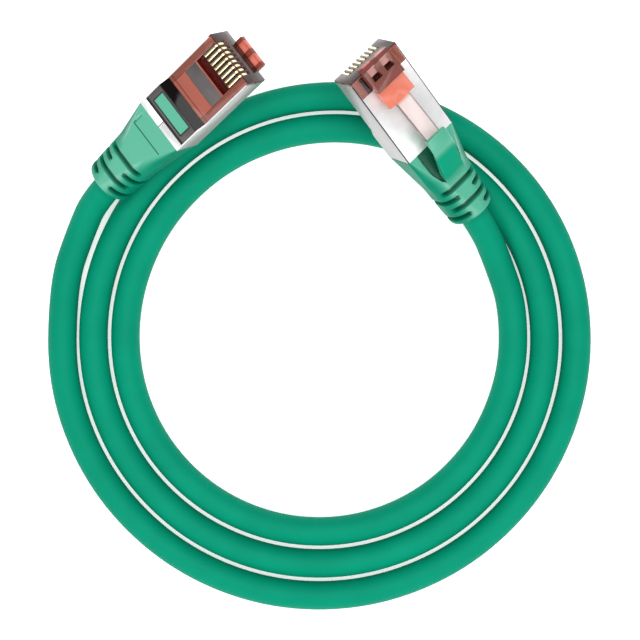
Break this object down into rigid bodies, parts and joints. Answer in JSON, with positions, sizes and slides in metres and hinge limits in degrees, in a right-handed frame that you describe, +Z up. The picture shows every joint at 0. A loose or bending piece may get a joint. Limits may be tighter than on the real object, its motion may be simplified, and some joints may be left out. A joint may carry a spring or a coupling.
{
  "type": "ethernet patch cable",
  "caption": "Shielded round patch cable lying in a flat coil, with a moulded plug on each end: clear housing, metal shield, sprung latch, snag guard and ribbed boot.",
  "frame": {"origin": "on the floor, under the middle of the whole object", "axes": "+Z up; +Y towards the side where both plugs lie; +X from plug a to plug b"},
  "size_m": [0.1066, 0.1106, 0.0324],
  "materials": {
    "jacket_green": "smooth satin PVC jacket",
    "boot_green": "satin moulded PVC",
    "red_housing": "clear red-brown polycarbonate",
    "nickel_shield": "bright nickel plate",
    "gold_contact": "gold flash",
    "grey_comb": "satin",
    "wire_skin": "smooth",
    "braid": "woven tinned wire",
    "ferrule_copper": "rolled"
  },
  "bodies": {
    "cable": {"jacket": "jacket_green", "braid_screen": "braid", "wire_1": "wire_skin", "wire_2": "wire_skin", "wire_3": "wire_skin", "wire_4": "wire_skin", "wire_5": "wire_skin", "wire_6": "wire_skin", "wire_7": "wire_skin", "wire_8": "wire_skin", "housing_a": "red_housing", "shield_a": "nickel_shield", "wire_comb_a": "grey_comb", "relief_clamp_a": "grey_comb", "crimp_ferrule_a": "ferrule_copper", "inner_mould_a": "boot_green", "boot_a": "boot_green", "contact_a_1": "gold_contact", "contact_a_2": "gold_contact", "contact_a_3": "gold_contact", "contact_a_4": "gold_contact", "contact_a_5": "gold_contact", "contact_a_6": "gold_contact", "contact_a_7": "gold_contact", "contact_a_8": "gold_contact", "housing_b": "red_housing", "shield_b": "nickel_shield", "wire_comb_b": "grey_comb", "relief_clamp_b": "grey_comb", "crimp_ferrule_b": "ferrule_copper", "inner_mould_b": "boot_green", "boot_b": "boot_green", "contact_b_1": "gold_contact", "contact_b_2": "gold_contact", "contact_b_3": "gold_contact", "contact_b_4": "gold_contact", "contact_b_5": "gold_contact", "contact_b_6": "gold_contact", "contact_b_7": "gold_contact", "contact_b_8": "gold_contact"},
    "latch_a": {"latch_a": "red_housing"},
    "latch_guard_a": {"latch_guard_a": "boot_green"},
    "latch_b": {"latch_b": "red_housing"},
    "latch_guard_b": {"latch_guard_b": "boot_green"}
  },
  "joints": [
    {"name": "latch_a_press", "type": "hinge", "parent": "cable", "child": "latch_a", "pos_m": [-0.0134, 0.0507, 0.02214], "axis": [-0.6042, 0.7924, -0.0838], "range_deg": [0, 7.5], "stiffness_Nm_per_rad": 0.02, "springref_deg": -5.73},
    {"name": "guard_a_press", "type": "hinge", "parent": "cable", "child": "latch_guard_a", "pos_m": [-0.03154, 0.0355, 0.00915], "axis": [0.6042, -0.7924, 0.0838], "range_deg": [0, 11.25], "stiffness_Nm_per_rad": 0.01, "springref_deg": -5.73},
    {"name": "latch_b_press", "type": "hinge", "parent": "cable", "child": "latch_b", "pos_m": [0.01006, 0.04783, 0.03013], "axis": [0.7043, 0.6914, -0.1609], "range_deg": [0, 7.5], "stiffness_Nm_per_rad": 0.02, "springref_deg": -5.73},
    {"name": "guard_b_press", "type": "hinge", "parent": "cable", "child": "latch_guard_b", "pos_m": [0.02517, 0.02946, 0.01735], "axis": [-0.7043, -0.6914, 0.1609], "range_deg": [0, 11.25], "stiffness_Nm_per_rad": 0.01, "springref_deg": -5.73}
  ],
  "couplings": [
    {"joint": "guard_a_press", "follows": "latch_a_press", "ratio": 1.5},
    {"joint": "guard_b_press", "follows": "latch_b_press", "ratio": 1.5}
  ]
}
